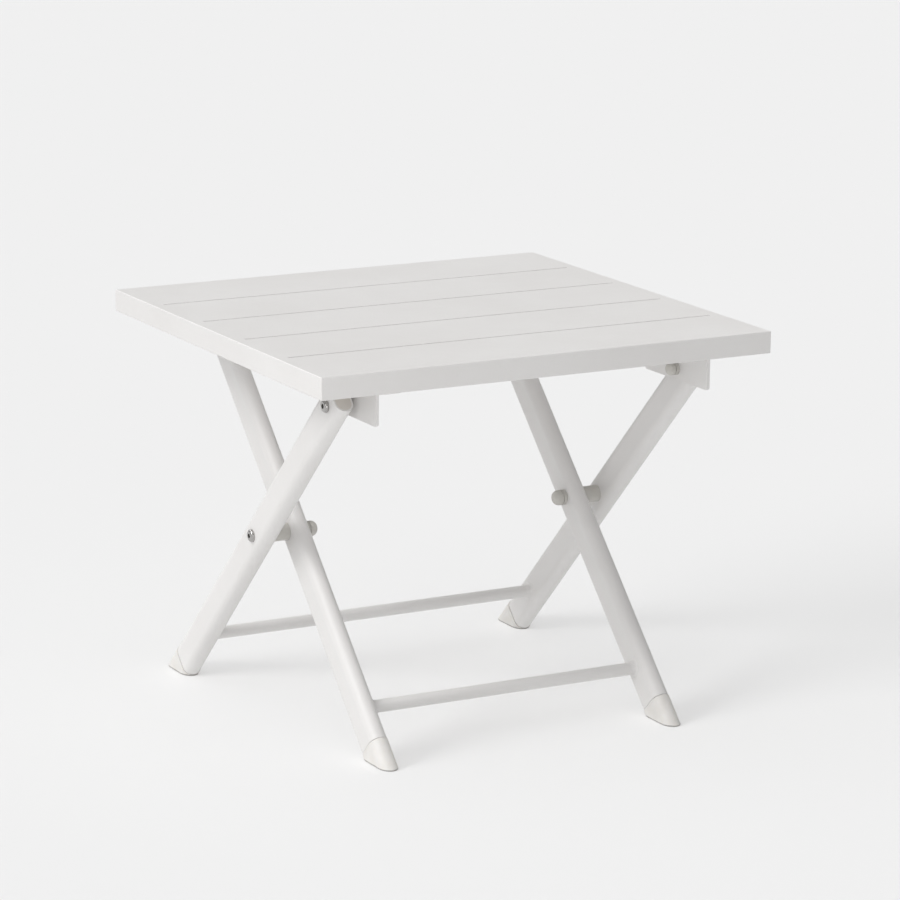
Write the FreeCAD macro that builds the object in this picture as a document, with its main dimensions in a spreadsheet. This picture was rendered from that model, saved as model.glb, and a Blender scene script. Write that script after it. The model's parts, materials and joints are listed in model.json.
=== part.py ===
"""Folding side table: a slatted top on two scissor leg frames.

Frame: millimetres, +Z up, +X along the slats, +Y from the front edge to the rear edge.
The origin lies on the floor under the middle of the top. Every piece is a solid of its own.
"""
import FreeCAD, Part
import os
from math import cos, radians, sin, tan

import Sketcher

DIMENSIONS = {
    # table top
    "top_width": 500, "top_depth": 485, "top_height": 405, "edge_height": 22.5,
    "rail_thick": 12, "rail_wall": 3, "slat_count": 5, "slat_gap": 2, "slat_thick": 16,
    "slat_wall": 1.3, "lip_thick": 3, "edge_round": 1, "groove_round": 0.5,
    "bearer_width": 36, "bearer_thick": 6.5, "bearer_centre": 184,
    # legs of flat-oval tube
    "leg_angle": 45, "leg_width": 37, "leg_thick": 19, "leg_wall": 1.5, "leg_outer_face": 210,
    "leg_spacing": 20, "leg_past_pivot": 17, "trim_above_pivot": 19.5, "plug_depth": 10,
    # foot caps
    "foot_skirt": 0.5, "foot_top": 19.8, "foot_seam": 0.8, "foot_round": 0.8, "spigot_long": 18,
    # pivots
    "pivot_drop": 45, "pivot_front": 172.5, "mid_height": 192.5, "face_clear": 0.3,
    "bolt_dia": 8, "bolt_clear": 0.1, "head_dia": 13, "head_high": 3.6, "head_round": 2.6,
    "hex_flats": 4.6, "hex_deep": 2.2, "bush_dia": 11,
    "spacer_dia": 17.5, "cap_dia": 16, "cap_high": 13.5, "nut_dia": 13, "nut_high": 11.5,
    "cap_roof": 4.5, "cap_tip": 1.5, "cap_collar": 3.6, "cap_groove": 0.8, "groove_deep": 0.9,
    # crossbars
    "bar_dia": 13, "bar_wall": 1.5, "rear_bar_reach": 200, "front_bar_reach": 209,
    # brackets
    "plate_thick": 3, "plate_outer": 186.2, "plate_front": 231, "plate_back": 112,
    "plate_hang": 34, "plate_round": 3, "flange_width": 26,
    "screw_end_gap": 20, "screw_dia": 4, "screw_head_dia": 8, "screw_head_high": 2.4,
    "screw_round": 1.2, "screw_cross": 1, "screw_deep": 2.5,
    # catches that hold the top bar
    "catch_centre": 118, "catch_width": 18, "catch_wall": 5, "catch_mouth": 13.6,
    "catch_corner": 6.5, "catch_lead": 12, "catch_foot": 14, "catch_foot_thick": 4,
    # how far a cutting shape reaches past the piece it cuts
    "cut_reach": 110,
}

doc = FreeCAD.newDocument("FoldingTable")
sheet = doc.addObject("Spreadsheet::Sheet", "Dims")
for row, (alias, value) in enumerate(DIMENSIONS.items(), start=1):
    sheet.set(f"A{row}", alias)
    sheet.set(f"B{row}", str(value))
    sheet.setAlias(f"B{row}", alias)
doc.recompute()


def dim(alias):
    """A driving dimension, read back from the sheet."""
    return float(sheet.get(alias))


# Places that several pieces share, worked out from the driving dimensions.
AXIS_X = FreeCAD.Vector(1, 0, 0)
AXIS_Y = FreeCAD.Vector(0, 1, 0)
AXIS_Z = FreeCAD.Vector(0, 0, 1)
LEAN = dim("leg_angle")
PIVOT_Z = dim("top_height") - dim("pivot_drop")
TOP_Y = -dim("pivot_front")
MID_Z = dim("mid_height")
MID_Y = TOP_Y + (PIVOT_Z - MID_Z) / tan(radians(LEAN))
TOP_BAR_Y = 2 * MID_Y - TOP_Y
REAR_FOOT_Y = MID_Y + MID_Z / tan(radians(LEAN))
FRONT_FOOT_Y = MID_Y - MID_Z / tan(radians(LEAN))
SLAT_PITCH = (dim("top_depth") + dim("slat_gap")) / dim("slat_count")
UNDERSIDE = dim("top_height") - dim("edge_height")
SLAT_UNDERSIDE = dim("top_height") - dim("slat_thick")
OUTER_LEG_X = dim("leg_outer_face") - dim("leg_thick") / 2
INNER_LEG_X = OUTER_LEG_X - dim("leg_thick") - dim("leg_spacing")
SIDES = {"left": -1, "right": 1}

# The same places along a leg, measured up its axis from the floor, as expressions.
SLAT_WIDTH = "((Dims.top_depth + Dims.slat_gap) / Dims.slat_count - Dims.slat_gap)"
LEG_TO_PIVOT = "((Dims.top_height - Dims.pivot_drop) / sin(Dims.leg_angle))"
LEG_TO_MID = "(Dims.mid_height / sin(Dims.leg_angle))"
LEG_END = f"({LEG_TO_PIVOT} + Dims.leg_past_pivot)"

nodes = []


def node(obj, label, placement=None):
    """Give a finished sub-part its name and its place."""
    obj.Label = label
    if placement is not None:
        obj.Placement = placement
    nodes.append(obj)
    return obj


def place(x, y, z, rotation=None):
    return FreeCAD.Placement(FreeCAD.Vector(x, y, z), rotation or FreeCAD.Rotation())


def outward(side):
    """Rotation that points local +X away from the middle of the table."""
    return FreeCAD.Rotation(AXIS_Z, 0 if side > 0 else 180)


def bind(obj, **expressions):
    for name, expression in expressions.items():
        obj.setExpression(name, expression)


# ---- sketches and features -------------------------------------------------------------

def sketch_on(body, role, offset=None):
    """A sketch on one of the body's own origin planes, moved along its normal by offset."""
    sketch = body.newObject("Sketcher::SketchObject", "Sketch")
    plane = [f for f in body.Origin.OriginFeatures if f.Role == role][0]
    sketch.AttachmentSupport = [(plane, "")]
    sketch.MapMode = "FlatFace"
    if offset:
        sketch.setExpression("AttachmentOffset.Base.z", offset)
    return sketch


def pin_point(sketch, geometry, point, x, y):
    """Hold a point of the sketch at the place that two expressions give."""
    at = sketch.getPoint(geometry, point)
    for kind, expression, value in (("DistanceX", x, at.x), ("DistanceY", y, at.y)):
        index = sketch.addConstraint(
            Sketcher.Constraint(kind, -1, 1, geometry, point, value))
        sketch.setExpression(f"Constraints[{index}]", expression)


def add_outline(sketch, points):
    """A closed outline of straight lines through points given as pairs of expressions."""
    first = sketch.GeometryCount
    count = len(points)
    start = [FreeCAD.Vector(50 * cos(radians(360 * i / count)),
                            50 * sin(radians(360 * i / count)), 0) for i in range(count)]
    for i in range(count):
        sketch.addGeometry(Part.LineSegment(start[i], start[(i + 1) % count]), False)
    for i in range(count):
        sketch.addConstraint(Sketcher.Constraint(
            "Coincident", first + i, 2, first + (i + 1) % count, 1))
    for i, (x, y) in enumerate(points):
        pin_point(sketch, first + i, 1, x, y)


def add_box(sketch, x_low, y_low, x_high, y_high):
    add_outline(sketch, [(x_low, y_low), (x_high, y_low), (x_high, y_high), (x_low, y_high)])


def add_circle(sketch, x, y, diameter):
    circle = sketch.addGeometry(
        Part.Circle(FreeCAD.Vector(1, 1, 0), AXIS_Z, 3), False)
    pin_point(sketch, circle, 3, x, y)
    index = sketch.addConstraint(Sketcher.Constraint("Diameter", circle, 6))
    sketch.setExpression(f"Constraints[{index}]", diameter)


def add_flat_oval(sketch, inset):
    """The tube's flat-oval outline, leg_thick along X and leg_width along Y, inset all round."""
    radius, reach = 8, 8
    right = sketch.addGeometry(Part.LineSegment(
        FreeCAD.Vector(radius, -reach, 0), FreeCAD.Vector(radius, reach, 0)), False)
    top = sketch.addGeometry(Part.ArcOfCircle(
        Part.Circle(FreeCAD.Vector(0, reach, 0), AXIS_Z, radius), 0, radians(180)), False)
    left = sketch.addGeometry(Part.LineSegment(
        FreeCAD.Vector(-radius, reach, 0), FreeCAD.Vector(-radius, -reach, 0)), False)
    bottom = sketch.addGeometry(Part.ArcOfCircle(
        Part.Circle(FreeCAD.Vector(0, -reach, 0), AXIS_Z, radius),
        radians(180), radians(360)), False)
    loop = [right, top, left, bottom]
    for i in range(4):
        sketch.addConstraint(Sketcher.Constraint("Tangent", loop[i], 2, loop[(i + 1) % 4], 1))
    arc_centre = "(Dims.leg_width - Dims.leg_thick) / 2"
    pin_point(sketch, top, 3, "0", arc_centre)
    pin_point(sketch, bottom, 3, "0", f"-({arc_centre})")
    index = sketch.addConstraint(Sketcher.Constraint("Radius", top, radius))
    sketch.setExpression(f"Constraints[{index}]", f"Dims.leg_thick / 2 - ({inset})")
    sketch.addConstraint(Sketcher.Constraint("Equal", top, bottom))


def pad(body, sketch, length, midplane=False, reverse=False):
    feature = body.newObject("PartDesign::Pad", "Pad")
    feature.Profile = sketch
    feature.Midplane = midplane
    feature.Reversed = reverse
    bind(feature, Length=length)
    doc.recompute()
    return feature


def pocket(body, sketch, depth=None, reverse=False):
    """Cut a sketch into the body: to a depth, or both ways through everything."""
    before = body.Shape.Volume
    feature = body.newObject("PartDesign::Pocket", "Pocket")
    feature.Profile = sketch
    if depth is None:
        feature.Type = "ThroughAll"
        feature.Midplane = True
    else:
        feature.Reversed = reverse
        bind(feature, Length=depth)
    doc.recompute()
    if body.Shape.Volume >= before:
        raise RuntimeError(f"a pocket of {body.Label} removes nothing")
    return feature


def round_edges(body, radius, test):
    """Round the edges of the body's last feature whose middle point passes the test."""
    base = body.Tip
    names = []
    for i, edge in enumerate(base.Shape.Edges, start=1):
        middle = edge.valueAt((edge.FirstParameter + edge.LastParameter) / 2)
        if test(edge, middle):
            names.append(f"Edge{i}")
    if not names:
        raise RuntimeError(f"no edge of {body.Label} is there to round")
    feature = body.newObject("PartDesign::Fillet", "Fillet")
    feature.Base = (base, names)
    bind(feature, Radius=radius)
    doc.recompute()
    return feature


def near(value, target):
    return abs(value - target) < 1e-3


def runs_along(edge, axis):
    """True for a straight edge that is parallel to the axis."""
    return isinstance(edge.Curve, Part.Line) and abs(edge.Curve.Direction.dot(axis)) > 0.999


def turned(label, outline, placement, rounds=()):
    """A piece turned about local X. Outline points are (place along X, radius) expressions;
    rounds are (place along X, radius of the edge, radius of the round)."""
    body = doc.addObject("PartDesign::Body", "Body")
    body.Label = label
    sketch = sketch_on(body, "XY_Plane")
    add_outline(sketch, outline)
    feature = body.newObject("PartDesign::Revolution", "Revolution")
    feature.Profile = sketch
    feature.ReferenceAxis = (sketch, ["H_Axis"])
    feature.Angle = 360
    doc.recompute()
    for x, edge_radius, size in rounds:
        round_edges(body, size, lambda edge, middle: isinstance(edge.Curve, Part.Circle)
                    and near(middle.x, x) and near(edge.Curve.Radius, edge_radius))
    return node(body, label, placement)


# ---- table top ---------------------------------------------------------------------------

def slat(number):
    """One hollow slat. The front and the rear slat also have a lip turned down."""
    body = doc.addObject("PartDesign::Body", "Body")
    half = f"{SLAT_WIDTH} / 2"
    wall = "Dims.slat_wall"
    sketch = sketch_on(body, "YZ_Plane")
    last = int(dim("slat_count"))
    if number in (1, last):
        edge = -1 if number == 1 else 1
        add_outline(sketch, [
            (f"{edge} * {half}", "0"),
            (f"{edge} * {half}", "-Dims.edge_height"),
            (f"{edge} * ({half} - Dims.lip_thick)", "-Dims.edge_height"),
            (f"{edge} * ({half} - Dims.lip_thick)", "-Dims.slat_thick"),
            (f"{-edge} * {half}", "-Dims.slat_thick"),
            (f"{-edge} * {half}", "0")])
    else:
        add_box(sketch, f"-{half}", "-Dims.slat_thick", half, "0")
    add_box(sketch, f"-{half} + {wall}", f"-Dims.slat_thick + {wall}",
            f"{half} - {wall}", f"-{wall}")
    pad(body, sketch, "Dims.top_width - 2 * Dims.rail_thick", midplane=True)
    y = (number - (last + 1) / 2) * SLAT_PITCH
    if number == last:
        drill_catch_holes(body, y)
    outer_y = (SLAT_PITCH - dim("slat_gap")) / 2
    outer_edge = {1: -outer_y, last: outer_y}.get(number)
    if outer_edge is not None:
        round_edges(body, "Dims.edge_round", lambda edge, middle: runs_along(edge, AXIS_X)
                    and near(middle.y, outer_edge))
    round_edges(body, "Dims.groove_round", lambda edge, middle: runs_along(edge, AXIS_X)
                and near(middle.z, 0) and near(abs(middle.y), outer_y))
    node(body, f"slat_{number}", place(0, y, dim("top_height")))


def catch_screw_places():
    """Where the catches' screws stand: two beside each catch."""
    reach = (dim("catch_width") + dim("catch_foot")) / 2
    y = TOP_BAR_Y + dim("catch_lead") / 2
    return [(side * dim("catch_centre") + hand * reach, y)
            for side in SIDES.values() for hand in (-1, 1)]


def drill_catch_holes(body, slat_y):
    sketch = sketch_on(body, "XY_Plane", "-Dims.slat_thick")
    for x, y in catch_screw_places():
        add_circle(sketch, str(x), str(y - slat_y), "Dims.screw_dia")
    pocket(body, sketch, "Dims.slat_thick / 2", reverse=True)


def side_rail(name, side):
    """The bar that closes the slats' ends, hollowed from behind."""
    body = doc.addObject("PartDesign::Body", "Body")
    sketch = sketch_on(body, "YZ_Plane")
    add_box(sketch, "-Dims.top_depth / 2", "-Dims.edge_height", "Dims.top_depth / 2", "0")
    pad(body, sketch, "Dims.rail_thick", midplane=True)
    recess = sketch_on(body, "YZ_Plane", f"{-side} * Dims.rail_thick / 2")
    add_box(recess, "-Dims.top_depth / 2 + Dims.rail_wall", "-Dims.slat_thick + Dims.rail_wall",
            "Dims.top_depth / 2 - Dims.rail_wall", "-Dims.rail_wall")
    pocket(body, recess, "Dims.rail_thick - Dims.rail_wall", reverse=side > 0)
    outer_x = side * dim("rail_thick") / 2
    end_y = dim("top_depth") / 2
    round_edges(body, "Dims.edge_round", lambda edge, middle: near(middle.x, outer_x)
                or (near(abs(middle.y), end_y) and runs_along(edge, AXIS_X)))
    x = side * (dim("top_width") - dim("rail_thick")) / 2
    node(body, f"side_rail_{name}", place(x, 0, dim("top_height")))


def bracket_screw_places():
    """Where a bracket's screws stand along Y: three, evenly spaced behind each other."""
    first = dim("screw_end_gap") - dim("plate_front")
    final = -dim("screw_end_gap") - dim("plate_back")
    return [first, (first + final) / 2, final]


def flange_screw_x():
    return dim("plate_outer") - (dim("flange_width") + dim("plate_thick")) / 2


def bearer(name, side):
    """The flat bar under the slats that ties them together and carries a bracket."""
    body = doc.addObject("PartDesign::Body", "Body")
    sketch = sketch_on(body, "XY_Plane")
    half_long = "(Dims.top_depth / 2 - Dims.lip_thick)"
    add_box(sketch, "-Dims.bearer_width / 2", f"-{half_long}",
            "Dims.bearer_width / 2", half_long)
    pad(body, sketch, "Dims.bearer_thick")
    holes = sketch_on(body, "XY_Plane")
    offset = flange_screw_x() - dim("bearer_centre")
    for y in bracket_screw_places():
        add_circle(holes, str(side * offset), str(y), "Dims.screw_dia")
    pocket(body, holes)
    node(body, f"bearer_{name}", place(side * dim("bearer_centre"), 0, UNDERSIDE))


def bracket(name, side):
    """An angle bracket: an upright plate beside the leg and a flange under the bearer."""
    body = doc.addObject("PartDesign::Body", "Body")
    plate = sketch_on(body, "YZ_Plane")
    add_box(plate, "-Dims.plate_front", "-Dims.plate_hang", "-Dims.plate_back", "0")
    pad(body, plate, "Dims.plate_thick", midplane=True)
    bottom = -dim("plate_hang")
    round_edges(body, "Dims.plate_round", lambda edge, middle: runs_along(edge, AXIS_X)
                and near(middle.z, bottom))
    flange = sketch_on(body, "XY_Plane")
    outer = f"{side} * Dims.plate_thick / 2"
    inner = f"{-side} * (Dims.flange_width - Dims.plate_thick / 2)"
    add_box(flange, outer, "-Dims.plate_front", inner, "-Dims.plate_back")
    pad(body, flange, "Dims.plate_thick", reverse=True)
    pivot = sketch_on(body, "YZ_Plane")
    add_circle(pivot, "-Dims.pivot_front", "Dims.edge_height - Dims.pivot_drop",
               "Dims.bolt_dia")
    pocket(body, pivot)
    holes = sketch_on(body, "XY_Plane")
    plate_x = dim("plate_outer") - dim("plate_thick") / 2
    for y in bracket_screw_places():
        add_circle(holes, str(side * (flange_screw_x() - plate_x)), str(y), "Dims.screw_dia")
    pocket(body, holes)
    node(body, f"hinge_bracket_{name}", place(side * plate_x, 0, UNDERSIDE))


def catch(name, side):
    """A moulded hook, open to the rear, that holds the top bar under the top."""
    body = doc.addObject("PartDesign::Body", "Body")
    hook = sketch_on(body, "YZ_Plane")
    mouth = "Dims.catch_mouth / 2"
    wall = "Dims.catch_wall"
    ceiling = "(Dims.pivot_drop - Dims.slat_thick)"
    add_outline(hook, [
        (f"-{mouth} - {wall}", ceiling),
        (f"-{mouth} - {wall}", f"-{mouth} - {wall}"),
        ("Dims.catch_lead", f"-{mouth} - {wall}"),
        (f"Dims.catch_lead + {wall}", f"-{mouth} - {wall} / 2"),
        ("Dims.catch_lead", f"-{mouth}"),
        (f"-{mouth}", f"-{mouth}"),
        (f"-{mouth}", mouth),
        (f"Dims.catch_lead + {wall}", mouth),
        (f"Dims.catch_lead + {wall}", ceiling)])
    pad(body, hook, "Dims.catch_width", midplane=True)
    throat = -dim("catch_mouth") / 2
    round_edges(body, "Dims.catch_corner", lambda edge, middle:
                runs_along(edge, AXIS_X) and near(middle.y, throat))
    foot = sketch_on(body, "XY_Plane", ceiling)
    reach = "(Dims.catch_width / 2 + Dims.catch_foot)"
    add_box(foot, f"-{reach}", f"-{mouth}", reach, f"Dims.catch_lead + {wall}")
    pad(body, foot, "Dims.catch_foot_thick", reverse=True)
    holes = sketch_on(body, "XY_Plane", f"{ceiling} - Dims.catch_foot_thick")
    offset = (dim("catch_width") + dim("catch_foot")) / 2
    for hand in (-1, 1):
        add_circle(holes, str(hand * offset), "Dims.catch_lead / 2", "Dims.screw_dia")
    pocket(body, holes, "Dims.catch_foot_thick", reverse=True)
    node(body, f"top_bar_catch_{name}", place(side * dim("catch_centre"), TOP_BAR_Y, PIVOT_Z))


def screw_group(label, places, z, length):
    """Pan-head screws that point up, one separate solid at each place."""
    shank = Part.makeCylinder(dim("screw_dia") / 2, length)
    head = Part.makeCylinder(dim("screw_head_dia") / 2, dim("screw_head_high"),
                             FreeCAD.Vector(0, 0, -dim("screw_head_high")))
    rim = [edge for edge in head.Edges if isinstance(edge.Curve, Part.Circle)
           and near(edge.Curve.Center.z, -dim("screw_head_high"))]
    head = head.makeFillet(dim("screw_round"), rim)
    slot = dim("screw_head_high") / 2
    across = dim("screw_head_dia") / 2
    narrow = dim("screw_cross")
    for size in ((across, narrow, slot), (narrow, across, slot)):
        recess = Part.makeBox(*size, FreeCAD.Vector(-size[0] / 2, -size[1] / 2,
                                                   -dim("screw_head_high")))
        head = head.cut(recess)
    screw = head.fuse(shank).removeSplitter()
    copies = []
    for x, y in places:
        copy = screw.copy()
        copy.translate(FreeCAD.Vector(x, y, z))
        copies.append(copy)
    group = doc.addObject("Part::Feature", label)
    group.Shape = Part.makeCompound(copies)
    node(group, label)


# ---- legs ----------------------------------------------------------------------------------

def leg_place(side, x, foot_y, leans_to_front):
    """Leg frame: Z up the leg's axis from the floor, Y to its upper side."""
    if leans_to_front:
        turn = FreeCAD.Rotation(AXIS_X, LEAN)
    else:
        turn = FreeCAD.Rotation(AXIS_X, -LEAN) * FreeCAD.Rotation(AXIS_Z, 180)
    return place(side * x, foot_y, 0, turn)


def trim_leg_end(body):
    """Cut the leg's upper end level, so that it clears the top as the leg turns."""
    sketch = sketch_on(body, "YZ_Plane")
    level = f"({LEG_TO_PIVOT} + Dims.trim_above_pivot / sin(Dims.leg_angle))"
    beyond = f"({LEG_END} + Dims.cut_reach)"
    add_outline(sketch, [
        ("Dims.leg_width", f"{level} - Dims.leg_width / tan(Dims.leg_angle)"),
        ("Dims.leg_width", beyond),
        (f"({level} - {beyond}) * tan(Dims.leg_angle)", beyond)])
    pocket(body, sketch)


def leg_tube(label, placement, pivot_holes):
    body = doc.addObject("PartDesign::Body", "Body")
    start = "(Dims.foot_top + Dims.foot_seam)"
    section = sketch_on(body, "XY_Plane", start)
    add_flat_oval(section, "0")
    add_flat_oval(section, "Dims.leg_wall")
    pad(body, section, f"{LEG_END} - {start}")
    trim_leg_end(body)
    holes = sketch_on(body, "YZ_Plane")
    for height, diameter in pivot_holes:
        add_circle(holes, "0", height, diameter)
    pocket(body, holes)
    node(body, label, placement)


def leg_plug(label, placement):
    """The plastic plug in a leg's upper end, cut level with the tube."""
    body = doc.addObject("PartDesign::Body", "Body")
    section = sketch_on(body, "XY_Plane", f"{LEG_END} - Dims.plug_depth")
    add_flat_oval(section, "Dims.leg_wall")
    pad(body, section, "Dims.plug_depth")
    trim_leg_end(body)
    node(body, label, placement)


def on_sole(point):
    """True for a point of a leg's own frame that lies on the floor."""
    return near(point.z * sin(radians(LEAN)), -point.y * cos(radians(LEAN)))


def foot_cap(label, placement):
    """A plastic wedge under the tube's end with a spigot inside the tube."""
    body = doc.addObject("PartDesign::Body", "Body")
    wedge = sketch_on(body, "XY_Plane", "Dims.foot_top")
    add_flat_oval(wedge, "-Dims.foot_skirt")
    pad(body, wedge, "Dims.foot_top + Dims.leg_width", reverse=True)
    ground = sketch_on(body, "YZ_Plane")
    below = "Dims.cut_reach"
    add_outline(ground, [(f"-{below}", f"{below} * tan(Dims.leg_angle)"),
                         (f"-{below}", f"-{below}"),
                         (below, f"-{below} * tan(Dims.leg_angle)")])
    pocket(body, ground)
    round_edges(body, "Dims.foot_round", lambda edge, middle: on_sole(middle))
    spigot = sketch_on(body, "XY_Plane", "Dims.foot_top")
    add_flat_oval(spigot, "Dims.leg_wall")
    pad(body, spigot, "Dims.spigot_long")
    node(body, label, placement)


def leg_pieces(name, side):
    outer = leg_place(side, OUTER_LEG_X, REAR_FOOT_Y, True)
    inner = leg_place(side, INNER_LEG_X, FRONT_FOOT_Y, False)
    leg_tube(f"outer_leg_{name}", outer,
             [(LEG_TO_PIVOT, "Dims.bush_dia"), (LEG_TO_MID, "Dims.bolt_dia")])
    leg_tube(f"inner_leg_{name}", inner, [(LEG_TO_MID, "Dims.bush_dia")])
    leg_plug(f"outer_leg_plug_{name}", outer)
    leg_plug(f"inner_leg_plug_{name}", inner)
    foot_cap(f"rear_foot_{name}", outer)
    foot_cap(f"front_foot_{name}", inner)


def crossbar(label, x_reach, y, z):
    """A round tube across the table, between the inward faces of two legs."""
    tube = []
    for size in ("Dims.bar_dia / 2", "Dims.bar_dia / 2 - Dims.bar_wall"):
        cylinder = doc.addObject("Part::Cylinder", "Cylinder")
        cylinder.Height = 2 * x_reach
        bind(cylinder, Radius=size)
        cylinder.Placement = place(-x_reach, y, z, FreeCAD.Rotation(AXIS_Y, 90))
        tube.append(cylinder)
    bar = doc.addObject("Part::Cut", "Crossbar")
    bar.Base, bar.Tool = tube
    node(bar, label)


# ---- pivots ----------------------------------------------------------------------------------

def bolt(label, placement, long):
    """A button-head bolt along X: head outward of the origin, shank inward."""
    head = "Dims.head_high"
    body = turned(label, [
        ("0", "0"), (f"-({long})", "0"), (f"-({long})", "Dims.bolt_dia / 2"),
        ("0", "Dims.bolt_dia / 2"), ("0", "Dims.head_dia / 2"),
        (head, "Dims.head_dia / 2"), (head, "0")],
        placement, [(dim("head_high"), dim("head_dia") / 2, "Dims.head_round")])
    socket = sketch_on(body, "YZ_Plane", head)
    corner = [(f"Dims.hex_flats / 2 / cos(30) * cos({60 * i})",
               f"Dims.hex_flats / 2 / cos(30) * sin({60 * i})") for i in range(6)]
    add_outline(socket, corner)
    pocket(body, socket, "Dims.hex_deep")


def sleeve(label, placement, x_low, x_high, outside, inside):
    """A plain ring about X: a bush, a washer or a spacer."""
    turned(label, [(x_low, f"{inside} / 2"), (x_high, f"{inside} / 2"),
                   (x_high, f"{outside} / 2"), (x_low, f"{outside} / 2")], placement)


def domed_nut(label, placement, size):
    """A closed nut with a collar and a dome that points inward, and a hole for the bolt's end.
    size is cap or nut, whose diameter and height it has."""
    radius = f"Dims.{size}_dia / 2"
    high = f"Dims.{size}_high"
    waist = f"({radius} - Dims.groove_deep)"
    hole = f"({high} - Dims.cap_roof)"
    collar = "Dims.cap_collar"
    dome = "(Dims.cap_collar + Dims.cap_groove)"
    turned(label, [
        ("0", "Dims.bolt_dia / 2"), ("0", radius), (f"-{collar}", radius),
        (f"-{collar}", waist), (f"-{dome}", waist), (f"-{dome}", radius), (f"-{high}", radius),
        (f"-{high}", "0"), (f"-{hole}", "0"), (f"-{hole}", "Dims.bolt_dia / 2")],
        placement, [(-dim(f"{size}_high"), dim(f"{size}_dia") / 2, f"{radius} - Dims.cap_tip")])


def top_pivot(name, side):
    """The hinge of the outer leg on the bracket."""
    turn = outward(side)
    face = place(side * (dim("leg_outer_face") + dim("face_clear")), TOP_Y, PIVOT_Z, turn)
    reach = ("Dims.leg_outer_face + Dims.face_clear - Dims.plate_outer"
             " + Dims.plate_thick + Dims.nut_high - Dims.cap_roof")
    bolt(f"top_pivot_bolt_{name}", face, reach)
    centre = place(side * OUTER_LEG_X, TOP_Y, PIVOT_Z, turn)
    sleeve(f"top_pivot_bush_{name}", centre, "-Dims.leg_thick / 2", "Dims.leg_thick / 2",
           "Dims.bush_dia", "(Dims.bolt_dia + Dims.bolt_clear)")
    plate = place(side * dim("plate_outer"), TOP_Y, PIVOT_Z, turn)
    sleeve(f"top_pivot_washer_{name}", plate, "0",
           "Dims.leg_outer_face - Dims.leg_thick - Dims.face_clear - Dims.plate_outer",
           "Dims.spacer_dia", "Dims.bolt_dia")
    back = place(side * (dim("plate_outer") - dim("plate_thick")), TOP_Y, PIVOT_Z, turn)
    domed_nut(f"top_pivot_nut_{name}", back, "nut")


def mid_pivot(name, side):
    """The crossing of the two legs."""
    turn = outward(side)
    face = place(side * dim("leg_outer_face"), MID_Y, MID_Z, turn)
    reach = ("2 * Dims.leg_thick + Dims.leg_spacing + Dims.face_clear"
             " + Dims.cap_high - Dims.cap_roof")
    bolt(f"mid_pivot_bolt_{name}", face, reach)
    between = place(side * (OUTER_LEG_X - dim("leg_thick") / 2), MID_Y, MID_Z, turn)
    sleeve(f"mid_pivot_spacer_{name}", between, "Dims.face_clear - Dims.leg_spacing", "0",
           "Dims.spacer_dia", "Dims.bolt_dia")
    centre = place(side * INNER_LEG_X, MID_Y, MID_Z, turn)
    sleeve(f"mid_pivot_bush_{name}", centre, "-Dims.leg_thick / 2", "Dims.leg_thick / 2",
           "Dims.bush_dia", "(Dims.bolt_dia + Dims.bolt_clear)")
    inside = INNER_LEG_X - dim("leg_thick") / 2 - dim("face_clear")
    domed_nut(f"mid_pivot_cap_{name}", place(side * inside, MID_Y, MID_Z, turn), "cap")


# ---- the whole table -------------------------------------------------------------------------

def build_top():
    for number in range(1, int(dim("slat_count")) + 1):
        slat(number)
    for name, side in SIDES.items():
        side_rail(name, side)
        bearer(name, side)
        bracket(name, side)
        catch(name, side)
    bracket_screws = [(side * flange_screw_x(), y) for side in SIDES.values()
                      for y in bracket_screw_places()]
    screw_group("bracket_screws", bracket_screws, UNDERSIDE - dim("plate_thick"),
                dim("plate_thick") + dim("bearer_thick"))
    screw_group("catch_screws", catch_screw_places(),
                SLAT_UNDERSIDE - dim("catch_foot_thick"),
                dim("catch_foot_thick") + dim("slat_wall") + dim("screw_deep"))


def build_frames():
    for name, side in SIDES.items():
        leg_pieces(name, side)
        top_pivot(name, side)
        mid_pivot(name, side)
    outer_reach = OUTER_LEG_X - dim("leg_thick") / 2
    inner_reach = INNER_LEG_X - dim("leg_thick") / 2
    for label, reach, along, way in (
            ("rear_crossbar", outer_reach, dim("rear_bar_reach"), 1),
            ("front_crossbar", inner_reach, dim("front_bar_reach"), -1)):
        crossbar(label, reach, MID_Y + way * along * cos(radians(LEAN)),
                 MID_Z - along * sin(radians(LEAN)))
    crossbar("top_bar", inner_reach, TOP_BAR_Y, PIVOT_Z)


def check_and_write():
    doc.recompute()
    for obj in doc.Objects:
        if "Invalid" in obj.State or "Error" in obj.State:
            raise RuntimeError(f"{obj.Label} failed: {obj.State}")
    for obj in nodes:
        if obj.Shape.isNull() or not obj.Shape.isValid():
            raise RuntimeError(f"{obj.Label} has no valid shape")
    os.makedirs("parts", exist_ok=True)
    for obj in nodes:
        obj.Shape.exportStep(f"parts/{obj.Label}.step")
        print(f"{obj.Label:26s} {len(obj.Shape.Solids)} solid(s) {obj.Shape.Volume:10.1f} mm3")


build_top()
build_frames()
check_and_write()
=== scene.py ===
"""Looks of the folding table: materials, weld beads, camera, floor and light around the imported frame.

Everything is in metres, in the frame of the CAD model: +X right, +Y to the back, +Z up.
"""

import json
from math import cos, pi, radians, sin

import bpy
from mathutils import Matrix, Vector


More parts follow.
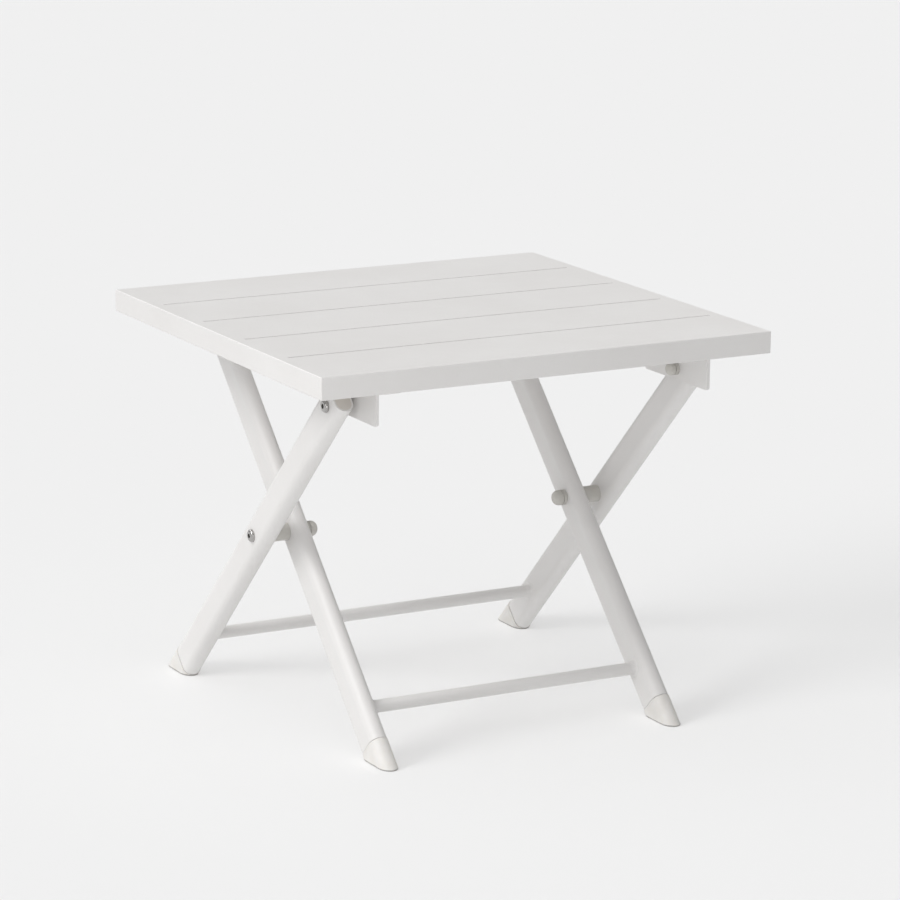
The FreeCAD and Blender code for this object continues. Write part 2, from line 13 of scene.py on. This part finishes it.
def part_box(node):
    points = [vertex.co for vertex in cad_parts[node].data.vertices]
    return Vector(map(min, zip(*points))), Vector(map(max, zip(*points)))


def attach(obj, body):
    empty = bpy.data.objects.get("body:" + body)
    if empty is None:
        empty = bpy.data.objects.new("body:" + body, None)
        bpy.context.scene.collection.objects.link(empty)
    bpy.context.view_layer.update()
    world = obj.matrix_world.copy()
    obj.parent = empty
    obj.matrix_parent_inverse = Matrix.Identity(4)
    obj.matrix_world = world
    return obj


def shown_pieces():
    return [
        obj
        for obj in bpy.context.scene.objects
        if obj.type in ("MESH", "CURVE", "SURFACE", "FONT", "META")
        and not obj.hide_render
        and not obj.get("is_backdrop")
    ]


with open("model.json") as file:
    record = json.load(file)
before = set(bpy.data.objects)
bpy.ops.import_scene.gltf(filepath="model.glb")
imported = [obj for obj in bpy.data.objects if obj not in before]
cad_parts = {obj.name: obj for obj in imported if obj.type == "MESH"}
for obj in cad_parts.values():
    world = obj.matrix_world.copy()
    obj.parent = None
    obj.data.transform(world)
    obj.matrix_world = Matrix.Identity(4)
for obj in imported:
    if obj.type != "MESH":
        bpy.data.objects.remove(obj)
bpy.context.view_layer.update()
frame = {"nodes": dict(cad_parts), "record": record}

MM = 0.001
SIDES = {"left": -1, "right": 1}

# Colours, linear. A pair is the low and the high end of a material's slow variation.
COAT = ((0.722, 0.708, 0.696), (0.746, 0.735, 0.724))
COAT_SPECK = (0.62, 0.60, 0.58)
# Painted highlight: the lighter coat colour laid along the edges.
COAT_EDGE_HIGHLIGHT = (0.80, 0.79, 0.78)
IVORY = ((0.70, 0.68, 0.65), (0.75, 0.735, 0.71))
# Painted shadow: the dark line along the bottom of the foot caps, where they stand on the floor.
SOLE_SHADOW = (0.22, 0.21, 0.20)
NYLON = ((0.70, 0.69, 0.66), (0.76, 0.75, 0.72))
PLUG = ((0.60, 0.565, 0.52), (0.66, 0.625, 0.58))
PIVOT = ((0.52, 0.505, 0.47), (0.58, 0.565, 0.53))
STEEL = ((0.40, 0.39, 0.38), (0.48, 0.47, 0.46))
ZINC = ((0.50, 0.52, 0.55), (0.66, 0.67, 0.68))
FLOOR_GREY = (0.80, 0.80, 0.80, 1)
WHITE = (1, 1, 1, 1)

# The turning rings on polished steel: how close they lie and how much they wander.
TURNING_SCALE = 900
TURNING_WANDER = 0.8

# Weld beads: their reach on the leg and along the bar, how deep they sink in, the height of their
# ripple, the rows and steps of the mesh, the ripples in one turn, and how much and how often these wander.
BEAD_OUT = 4.2 * MM
BEAD_ALONG = 9.0 * MM
BEAD_SUNK = 0.15 * MM
BEAD_RIPPLE = 0.12 * MM
BEAD_ROWS = 9
BEAD_STEPS = 144
BEAD_RIPPLES = 24
BEAD_WANDER = 1.1
BEAD_WANDER_LOBES = 3

# Camera: place and clip distance in metres, angles in degrees, lens and sensor in millimetres.
CAMERA_PLACE = (-1.8141, -3.4069, 1.1710)
CAMERA_YAW = 28.27
CAMERA_PITCH = 13.306
CAMERA_ROLL = 0.47
LENS = 154.18
SENSOR_WIDTH = 36
CLIP_END = 200

# The floor's half width, how far it lies below the soles, and the brightness of the surround.
FLOOR_REACH = 60
FLOOR_DROP = 0.1 * MM
SURROUND = 0.42

# Distant lamps: azimuth from +X and height in degrees, energy, softness in degrees.
LAMPS = {
    "lamp_left": (180, 46, 1.32, 30),
    "lamp_left_low": (203, 24, 0.42, 30),
    "lamp_top": (200, 75, 0.42, 35),
    "lamp_back": (100, 40, 0.76, 35),
    "lamp_floor_even": (0, 90, 1.255, 35),
    "lamp_floor_soft": (180, 65, 0.45, 90),
    "lamp_floor_low": (183, 16, 1.60, 30),
}

# The near lamp: its place, what it points at, its size in metres and its power in watts.
CARD_PLACE = (-0.45, -0.70, 0.35)
CARD_AIM = (-0.20, -0.24, 0.38)
CARD_SIZE = 0.25
CARD_POWER = 0.48


# ---------------------------------------------------------------- node helpers

def new_material(name):
    """A material with its Principled shader, ready for sockets and nodes."""
    material = bpy.data.materials.new(name)
    material.use_nodes = True
    tree = material.node_tree
    return material, tree, tree.nodes["Principled BSDF"]


def object_point(tree):
    """Coordinates in metres, fixed to the piece."""
    return tree.nodes.new("ShaderNodeTexCoord").outputs["Object"]


def noise(tree, point, wavelength, detail=2.0):
    """Noise of about this wavelength in metres."""
    texture = tree.nodes.new("ShaderNodeTexNoise")
    texture.inputs["Scale"].default_value = 1 / wavelength
    texture.inputs["Detail"].default_value = detail
    tree.links.new(point, texture.inputs["Vector"])
    return texture.outputs["Fac"]


def to_range(tree, value, low, high, start=0.3, end=0.7):
    """Maps a value from start..end to low..high."""
    node = tree.nodes.new("ShaderNodeMapRange")
    tree.links.new(value, node.inputs["Value"])
    node.inputs["From Min"].default_value = start
    node.inputs["From Max"].default_value = end
    node.inputs["To Min"].default_value = low
    node.inputs["To Max"].default_value = high
    return node.outputs["Result"]


def math_node(tree, operation, first, second):
    """One Math node; second is a socket or a number."""
    node = tree.nodes.new("ShaderNodeMath")
    node.operation = operation
    tree.links.new(first, node.inputs[0])
    if isinstance(second, (int, float)):
        node.inputs[1].default_value = second
    else:
        tree.links.new(second, node.inputs[1])
    return node.outputs["Value"]


def mix_colours(tree, factor, low, high):
    """A colour from low to high; each is a colour or a socket."""
    node = tree.nodes.new("ShaderNodeMix")
    node.data_type = "RGBA"
    tree.links.new(factor, node.inputs["Factor"])
    for socket, value in ((node.inputs[6], low), (node.inputs[7], high)):
        if isinstance(value, tuple):
            socket.default_value = (*value, 1)
        else:
            tree.links.new(value, socket)
    return node.outputs[2]


def bumps(tree, shader, layers):
    """Stacks bump layers: (height socket, height in metres)."""
    below = None
    for height, depth in layers:
        bump = tree.nodes.new("ShaderNodeBump")
        bump.inputs["Strength"].default_value = 1
        bump.inputs["Distance"].default_value = depth
        tree.links.new(height, bump.inputs["Height"])
        if below:
            tree.links.new(below, bump.inputs["Normal"])
        below = bump.outputs["Normal"]
    tree.links.new(below, shader.inputs["Normal"])


def edge_mask(tree, width):
    """1 along the edges of a piece and 0 on its faces."""
    bevel = tree.nodes.new("ShaderNodeBevel")
    bevel.samples = 4
    bevel.inputs["Radius"].default_value = width
    geometry = tree.nodes.new("ShaderNodeNewGeometry")
    dot = tree.nodes.new("ShaderNodeVectorMath")
    dot.operation = "DOT_PRODUCT"
    tree.links.new(bevel.outputs["Normal"], dot.inputs[0])
    tree.links.new(geometry.outputs["Normal"], dot.inputs[1])
    return to_range(tree, dot.outputs["Value"], 1, 0, start=0.90, end=0.995)


# ------------------------------------------------------------------- materials

def powder_coat(name):
    """White powder coat on aluminium: satin, orange peel, and a painted highlight that makes it a little
    lighter along the edges.
    """
    material, tree, shader = new_material(name)
    point = object_point(tree)
    cloud = noise(tree, point, 90 * MM, detail=3)
    speck = noise(tree, point, 1.2 * MM, detail=2)
    body = mix_colours(tree, to_range(tree, cloud, 0, 1), *COAT)
    specked = mix_colours(tree, to_range(tree, speck, 0, 0.35, start=0.62, end=0.75), body, COAT_SPECK)
    # Painted highlight: a lighter colour along the edges, in patches, mixed in at half strength.
    patchy = to_range(tree, noise(tree, point, 9 * MM), 0, 1)
    edge_highlight = math_node(tree, "MULTIPLY", edge_mask(tree, 0.9 * MM), patchy)
    colour = mix_colours(tree, math_node(tree, "MULTIPLY", edge_highlight, 0.5), specked, COAT_EDGE_HIGHLIGHT)
    tree.links.new(colour, shader.inputs["Base Color"])
    peel = noise(tree, point, 2.4 * MM, detail=1)
    grain = noise(tree, point, 0.45 * MM, detail=2)
    satin = to_range(tree, noise(tree, point, 12 * MM), 0.42, 0.50)
    tree.links.new(satin, shader.inputs["Roughness"])
    bumps(tree, shader, [(peel, 0.05 * MM), (grain, 0.01 * MM)])
    return material


def shade_sole(tree, point, colour):
    """The colour of a foot cap, with a painted contact shadow: dark where it stands on the floor."""
    split = tree.nodes.new("ShaderNodeSeparateXYZ")
    tree.links.new(point, split.inputs["Vector"])
    ragged = math_node(tree, "MULTIPLY_ADD", noise(tree, point, 7 * MM, detail=3), 1.2 * MM)
    tree.links.new(split.outputs["Z"], ragged.node.inputs[2])
    # Painted shadow: darkens the bottom one or two millimetres of the cap, with a ragged upper edge.
    sole_shadow_mask = to_range(tree, ragged, 0.8, 0, start=1.5 * MM, end=2.4 * MM)
    return mix_colours(tree, sole_shadow_mask, colour, SOLE_SHADOW)


def moulded_plastic(name, colours, roughness, grain_depth, subsurface=0.0, sole=False):
    """Injection-moulded plastic with a spark-eroded grain."""
    material, tree, shader = new_material(name)
    point = object_point(tree)
    cloud = noise(tree, point, 14 * MM, detail=3)
    colour = mix_colours(tree, to_range(tree, cloud, 0, 1), *colours)
    # Foot caps get a painted contact shadow along the sole.
    if sole:
        colour = shade_sole(tree, point, colour)
    tree.links.new(colour, shader.inputs["Base Color"])
    gloss = to_range(tree, noise(tree, point, 5 * MM), roughness, roughness + 0.1)
    tree.links.new(gloss, shader.inputs["Roughness"])
    shader.inputs["Subsurface Weight"].default_value = subsurface
    shader.inputs["Subsurface Radius"].default_value = (1, 0.8, 0.6)
    shader.inputs["Subsurface Scale"].default_value = 1.5 * MM
    sink = noise(tree, point, 6 * MM, detail=1)
    grain = noise(tree, point, 0.5 * MM, detail=3)
    bumps(tree, shader, [(sink, 0.06 * MM), (grain, grain_depth)])
    return material


def turned_steel(name, axis_y, axis_z):
    """Polished stainless steel with fine turning rings round an axis along X."""
    material, tree, shader = new_material(name)
    point = object_point(tree)
    centred = tree.nodes.new("ShaderNodeVectorMath")
    centred.operation = "SUBTRACT"
    centred.inputs[1].default_value = (0, axis_y, axis_z)
    tree.links.new(point, centred.inputs[0])
    rings = tree.nodes.new("ShaderNodeTexWave")
    rings.wave_type = "RINGS"
    rings.rings_direction = "X"
    rings.inputs["Scale"].default_value = TURNING_SCALE
    rings.inputs["Distortion"].default_value = TURNING_WANDER
    tree.links.new(centred.outputs["Vector"], rings.inputs["Vector"])
    smear = noise(tree, point, 3 * MM, detail=3)
    shader.inputs["Metallic"].default_value = 1
    colour = mix_colours(tree, to_range(tree, smear, 0, 1), *STEEL)
    tree.links.new(colour, shader.inputs["Base Color"])
    tree.links.new(to_range(tree, smear, 0.12, 0.22), shader.inputs["Roughness"])
    bumps(tree, shader, [(rings.outputs["Fac"], 0.004 * MM)])
    return material


def zinc_plate(name):
    """Zinc-plated steel: bluish, patchy, slightly rough."""
    material, tree, shader = new_material(name)
    point = object_point(tree)
    patch = noise(tree, point, 2.5 * MM, detail=4)
    shader.inputs["Metallic"].default_value = 1
    colour = mix_colours(tree, to_range(tree, patch, 0, 1), *ZINC)
    tree.links.new(colour, shader.inputs["Base Color"])
    tree.links.new(to_range(tree, patch, 0.30, 0.48), shader.inputs["Roughness"])
    bumps(tree, shader, [(noise(tree, point, 0.4 * MM, detail=2), 0.006 * MM)])
    return material


def pale_floor(name):
    """Plain matt studio floor, clear from underneath so that the table's underside can be seen."""
    material, tree, shader = new_material(name)
    shader.inputs["Base Color"].default_value = FLOOR_GREY
    shader.inputs["Roughness"].default_value = 0.9
    shader.inputs["Specular IOR Level"].default_value = 0
    side = tree.nodes.new("ShaderNodeNewGeometry")
    clear = tree.nodes.new("ShaderNodeBsdfTransparent")
    either = tree.nodes.new("ShaderNodeMixShader")
    tree.links.new(side.outputs["Backfacing"], either.inputs[0])
    tree.links.new(shader.outputs["BSDF"], either.inputs[1])
    tree.links.new(clear.outputs["BSDF"], either.inputs[2])
    tree.links.new(either.outputs["Shader"], tree.nodes["Material Output"].inputs["Surface"])
    return material


top_low, top_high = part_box("top_pivot_bolt_left")
mid_low, mid_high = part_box("mid_pivot_bolt_left")
TOP_AXIS = (top_low + top_high) / 2
MID_AXIS = (mid_low + mid_high) / 2

FINISHES = {
    "white_coat": powder_coat("white_coat"),
    "ivory_plastic": moulded_plastic("ivory_plastic", IVORY, roughness=0.45, grain_depth=0.012 * MM,
                                     subsurface=0.15, sole=True),
    "white_nylon": moulded_plastic("white_nylon", NYLON, roughness=0.38, grain_depth=0.006 * MM,
                                   subsurface=0.3),
    "grey_plug": moulded_plastic("grey_plug", PLUG, roughness=0.5, grain_depth=0.015 * MM),
    "zinc_steel": zinc_plate("zinc_steel"),
}
STEELS = {
    "top_pivot": turned_steel("steel_top_pivot", TOP_AXIS.y, TOP_AXIS.z),
    "mid_pivot": turned_steel("steel_mid_pivot", MID_AXIS.y, MID_AXIS.z),
}
PIVOT_PLASTIC = moulded_plastic("pivot_plastic", PIVOT, roughness=0.5, grain_depth=0.012 * MM)
PIVOT_PARTS = ("mid_pivot_cap", "mid_pivot_spacer", "top_pivot_nut")


def finish_of(node, slot):
    """The material of a CAD node: by its slot, and at the pivots by the piece itself."""
    if node.startswith(PIVOT_PARTS):
        return PIVOT_PLASTIC
    if slot == "bright_steel":
        return STEELS["top_pivot" if node.startswith("top_pivot") else "mid_pivot"]
    return FINISHES[slot]


for subpart in frame["record"]["subparts"]:
    for mesh_slot in frame["nodes"][subpart["node"]].material_slots:
        mesh_slot.material = finish_of(subpart["node"], subpart["material_slot"])


# ------------------------------------------------------------------ weld beads

def weld_bead(name, bar, side, face, body):
    """The bead that joins one end of a crossbar to its leg: a hollow fillet with a rippled surface."""
    low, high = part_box(bar)
    axis = (low + high) / 2
    bar_radius = (high.z - low.z) / 2
    vertices = []
    for row in range(BEAD_ROWS):
        swing = radians(90) * row / (BEAD_ROWS - 1)
        out, along = BEAD_OUT * (1 - sin(swing)), BEAD_ALONG * (1 - cos(swing))
        for step in range(BEAD_STEPS):
            turn = 2 * pi * step / BEAD_STEPS
            wander = BEAD_WANDER * sin(BEAD_WANDER_LOBES * turn)
            wave = BEAD_RIPPLE * sin(BEAD_RIPPLES * turn + wander) * sin(2 * swing)
            radius = bar_radius - BEAD_SUNK + out + wave
            place_x = face - side * (along - BEAD_SUNK + wave)
            vertices.append((place_x, axis.y + radius * cos(turn), axis.z + radius * sin(turn)))
    faces = []
    for row in range(BEAD_ROWS - 1):
        for step in range(BEAD_STEPS):
            after = (step + 1) % BEAD_STEPS
            corners = (row * BEAD_STEPS + step, row * BEAD_STEPS + after,
                       (row + 1) * BEAD_STEPS + after, (row + 1) * BEAD_STEPS + step)
            faces.append(corners if side > 0 else corners[::-1])
    mesh = bpy.data.meshes.new(name)
    mesh.from_pydata(vertices, [], faces)
    mesh.shade_smooth()
    mesh.materials.append(FINISHES["white_coat"])
    piece = bpy.data.objects.new(name, mesh)
    bpy.context.scene.collection.objects.link(piece)
    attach(piece, body)


for bar, frame_name in (("rear_crossbar", "outer"), ("front_crossbar", "inner"), ("top_bar", "inner")):
    for side_name, side in SIDES.items():
        leg_low, leg_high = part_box(f"{frame_name}_leg_{side_name}")
        inner_face = leg_low.x if side > 0 else leg_high.x
        weld_bead(f"weld_{bar}_{side_name}", bar, side, inner_face, f"{frame_name}_frame")


# ------------------------------------------------------------ camera and light

def add_camera():
    """The view from the front left, a little above the top."""
    data = bpy.data.cameras.new("camera")
    data.sensor_width = SENSOR_WIDTH
    data.lens = LENS
    data.clip_end = CLIP_END
    camera = bpy.data.objects.new("camera", data)
    yaw, pitch, roll = radians(CAMERA_YAW), radians(CAMERA_PITCH), radians(CAMERA_ROLL)
    ahead = Vector((sin(yaw) * cos(pitch), cos(yaw) * cos(pitch), -sin(pitch)))
    level_right = Vector((cos(yaw), -sin(yaw), 0))
    level_up = level_right.cross(ahead)
    right = level_right * cos(roll) + level_up * sin(roll)
    up = level_up * cos(roll) - level_right * sin(roll)
    turn = Matrix((right, up, -ahead)).transposed().to_4x4()
    camera.matrix_world = Matrix.Translation(CAMERA_PLACE) @ turn
    bpy.context.scene.collection.objects.link(camera)
    bpy.context.scene.camera = camera


def add_floor():
    """A pale floor, wide enough to fill the main view, just below the soles."""
    mesh = bpy.data.meshes.new("floor")
    corners = [(FLOOR_REACH * x, FLOOR_REACH * y, 0) for x, y in ((-1, -1), (1, -1), (1, 1), (-1, 1))]
    mesh.from_pydata(corners, [], [(0, 1, 2, 3)])
    floor = bpy.data.objects.new("floor", mesh)
    mesh.materials.append(pale_floor("floor"))
    floor.location.z = -FLOOR_DROP
    bpy.context.scene.collection.objects.link(floor)
    floor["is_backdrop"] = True
    return floor


def place_lamp(lamp, place, back, lights):
    """Puts a lamp at a place with its back this way, to light the pieces in one collection."""
    lamp_object = bpy.data.objects.new(lamp.name, lamp)
    lamp_object.location = place
    lamp_object.rotation_mode = "QUATERNION"
    lamp_object.rotation_quaternion = back.to_track_quat("Z", "Y")
    lamp_object.light_linking.receiver_collection = lights
    bpy.context.scene.collection.objects.link(lamp_object)


def add_lamp(name, lights, shadow=True):
    """One of the distant soft lamps."""
    azimuth, height, energy, softness = LAMPS[name]
    lamp = bpy.data.lights.new(name, "SUN")
    lamp.use_shadow = shadow
    lamp.energy = energy
    lamp.angle = radians(softness)
    turn, rise = radians(azimuth), radians(height)
    towards = Vector((cos(turn) * cos(rise), sin(turn) * cos(rise), sin(rise)))
    place_lamp(lamp, towards, towards, lights)


def add_card(name, lights):
    """The small soft lamp near the table."""
    lamp = bpy.data.lights.new(name, "AREA")
    lamp.size = CARD_SIZE
    lamp.energy = CARD_POWER
    place_lamp(lamp, CARD_PLACE, Vector(CARD_PLACE) - Vector(CARD_AIM), lights)


def add_light(floor):
    """An even surround, some lamps that light the table only and others that light the floor only."""
    world = bpy.data.worlds.new("studio")
    world.use_nodes = True
    background = world.node_tree.nodes["Background"]
    background.inputs["Color"].default_value = WHITE
    background.inputs["Strength"].default_value = SURROUND
    bpy.context.scene.world = world
    table_only = bpy.data.collections.new("table_only")
    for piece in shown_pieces():
        table_only.objects.link(piece)
    floor_only = bpy.data.collections.new("floor_only")
    floor_only.objects.link(floor)
    add_lamp("lamp_left", table_only)
    add_lamp("lamp_left_low", table_only)
    add_lamp("lamp_top", table_only)
    add_card("card_front_left", table_only)
    add_lamp("lamp_back", table_only)
    add_lamp("lamp_floor_even", floor_only, shadow=False)
    add_lamp("lamp_floor_soft", floor_only)
    add_lamp("lamp_floor_low", floor_only)


add_camera()
add_light(add_floor())
bpy.context.scene.view_settings.view_transform = "Standard"
